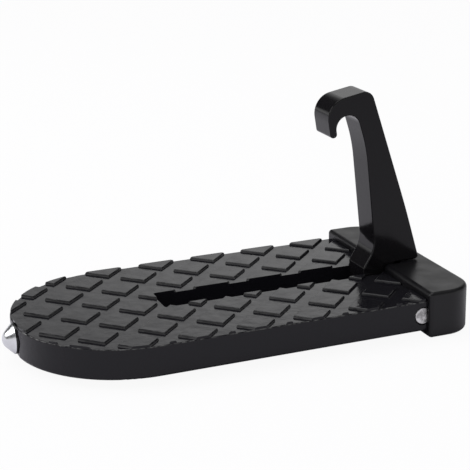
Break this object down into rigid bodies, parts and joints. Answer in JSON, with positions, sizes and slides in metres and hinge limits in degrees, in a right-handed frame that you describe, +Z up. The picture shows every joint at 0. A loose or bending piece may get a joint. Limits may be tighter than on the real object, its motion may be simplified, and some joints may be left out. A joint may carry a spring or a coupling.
{
  "type": "car door step",
  "caption": "Folding foot step that hooks over a car door latch striker: diamond tread plate, hinged hook, rubber bumper at the body end and a glass breaker point at the nose.",
  "frame": {"origin": "on the ground under the middle of the whole object's box, below the bumper's underside", "axes": "+X along the plate from the nose towards the car body, +Y across the plate, +Z up out of the tread"},
  "size_m": [0.1642, 0.0842, 0.0837],
  "materials": {
    "plate_paint": "gloss black coat on cast aluminium",
    "hook_paint": "gloss black coat on steel",
    "pin_steel": "turned",
    "washer_nylon": "satin",
    "bumper_rubber": "satin moulded rubber",
    "breaker_steel": "polished"
  },
  "bodies": {
    "step": {"step_plate": "plate_paint", "hinge_pin": "pin_steel", "hinge_washer_near": "washer_nylon", "hinge_washer_far": "washer_nylon", "bumper": "bumper_rubber", "glass_breaker": "breaker_steel"},
    "hook": {"hook_arm": "hook_paint"}
  },
  "joints": [
    {"name": "hook_fold", "type": "hinge", "parent": "step", "child": "hook", "pos_m": [0.06105, 0, 0.0083], "axis": [0, -1, 0], "range_deg": [0, 90]}
  ]
}
